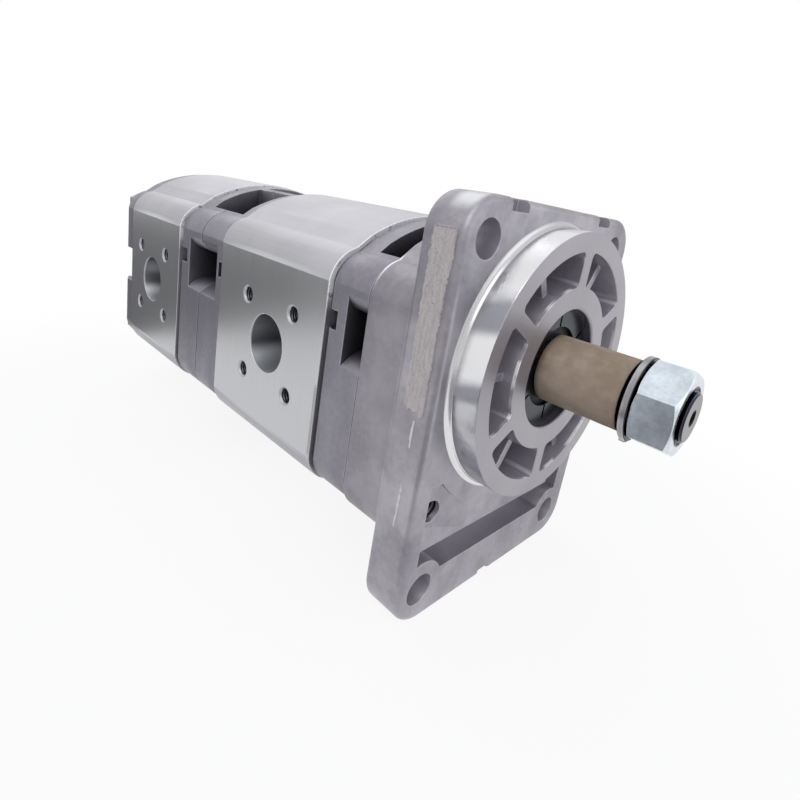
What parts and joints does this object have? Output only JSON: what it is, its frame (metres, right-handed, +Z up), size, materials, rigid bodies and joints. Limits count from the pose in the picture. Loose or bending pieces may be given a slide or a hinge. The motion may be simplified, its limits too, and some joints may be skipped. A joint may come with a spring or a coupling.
{
  "type": "hydraulic pump",
  "caption": "Tandem external gear pump with a ribbed mounting flange and centring pilot, an outboard bearing, flat port faces and a tapered drive shaft.",
  "frame": {"origin": "centre of the centring pilot, on the face of the mounting flange", "axes": "the shaft axis is Y: -Y points out of the pilot along the drive shaft, +Y back along the pump body; +Z is up from the driven gears to the drive shaft; +X is to the right seen from the shaft end"},
  "size_m": [0.0928, 0.264, 0.1215],
  "materials": {
    "cast_aluminium": "as-cast and machined, matt pale grey",
    "extruded_aluminium": "satin extruded skin, milled port faces",
    "block_aluminium": "machined",
    "seal_rubber": "matt black",
    "dark_spring_steel": "blackened",
    "spring_steel": "plain spring steel",
    "bearing_steel": "ground",
    "cage_brass": "machined",
    "bush_bronze": "bronze lining",
    "shaft_steel": "ground and hardened",
    "kraft_cardboard": "grey-brown kraft tube",
    "zinc_steel": "bright zinc plate, slightly blue",
    "bolt_steel": "zinc plate"
  },
  "bodies": {
    "housing": {"mounting_flange": "cast_aluminium", "front_cover": "cast_aluminium", "front_casing": "extruded_aluminium", "centre_cover_front": "cast_aluminium", "centre_cover_rear": "cast_aluminium", "rear_casing": "extruded_aluminium", "end_cover": "cast_aluminium", "shaft_seal": "seal_rubber", "seal_retainer": "dark_spring_steel", "bearing_outer_race": "bearing_steel", "bearing_circlip": "dark_spring_steel", "section_seal": "seal_rubber", "centre_seal": "seal_rubber", "front_block_fore": "block_aluminium", "front_block_aft": "block_aluminium", "rear_block_fore": "block_aluminium", "rear_block_aft": "block_aluminium", "front_bushes": "bush_bronze", "rear_bushes": "bush_bronze", "axial_seals": "seal_rubber", "casing_seals": "seal_rubber", "through_bolts": "bolt_steel", "dowel_pins": "shaft_steel"},
    "drive": {"drive_shaft": "shaft_steel", "shaft_key": "shaft_steel", "cardboard_sleeve": "kraft_cardboard", "spring_washer": "spring_steel", "shaft_nut": "zinc_steel", "bearing_inner_race": "bearing_steel", "front_coupling": "shaft_steel", "centre_coupling": "shaft_steel", "front_drive_gear": "shaft_steel", "rear_drive_gear": "shaft_steel"},
    "ball_cage": {"bearing_cage": "cage_brass", "bearing_balls": "bearing_steel"},
    "front_driven": {"front_driven_gear": "shaft_steel"},
    "rear_driven": {"rear_driven_gear": "shaft_steel"}
  },
  "joints": [
    {"name": "drive_spin", "type": "hinge", "parent": "housing", "child": "drive", "pos_m": [0, 0, 0], "axis": [0, 1, 0], "continuous": true},
    {"name": "front_driven_spin", "type": "hinge", "parent": "housing", "child": "front_driven", "pos_m": [0, 0.079, -0.03], "axis": [0, 1, 0], "continuous": true},
    {"name": "rear_driven_spin", "type": "hinge", "parent": "housing", "child": "rear_driven", "pos_m": [0, 0.178, -0.03], "axis": [0, 1, 0], "continuous": true},
    {"name": "ball_cage_spin", "type": "hinge", "parent": "housing", "child": "ball_cage", "pos_m": [0, 0.012, 0], "axis": [0, 1, 0], "continuous": true}
  ],
  "couplings": [
    {"joint": "front_driven_spin", "follows": "drive_spin", "ratio": -1},
    {"joint": "rear_driven_spin", "follows": "drive_spin", "ratio": -1},
    {"joint": "ball_cage_spin", "follows": "drive_spin", "ratio": 0.38387}
  ]
}
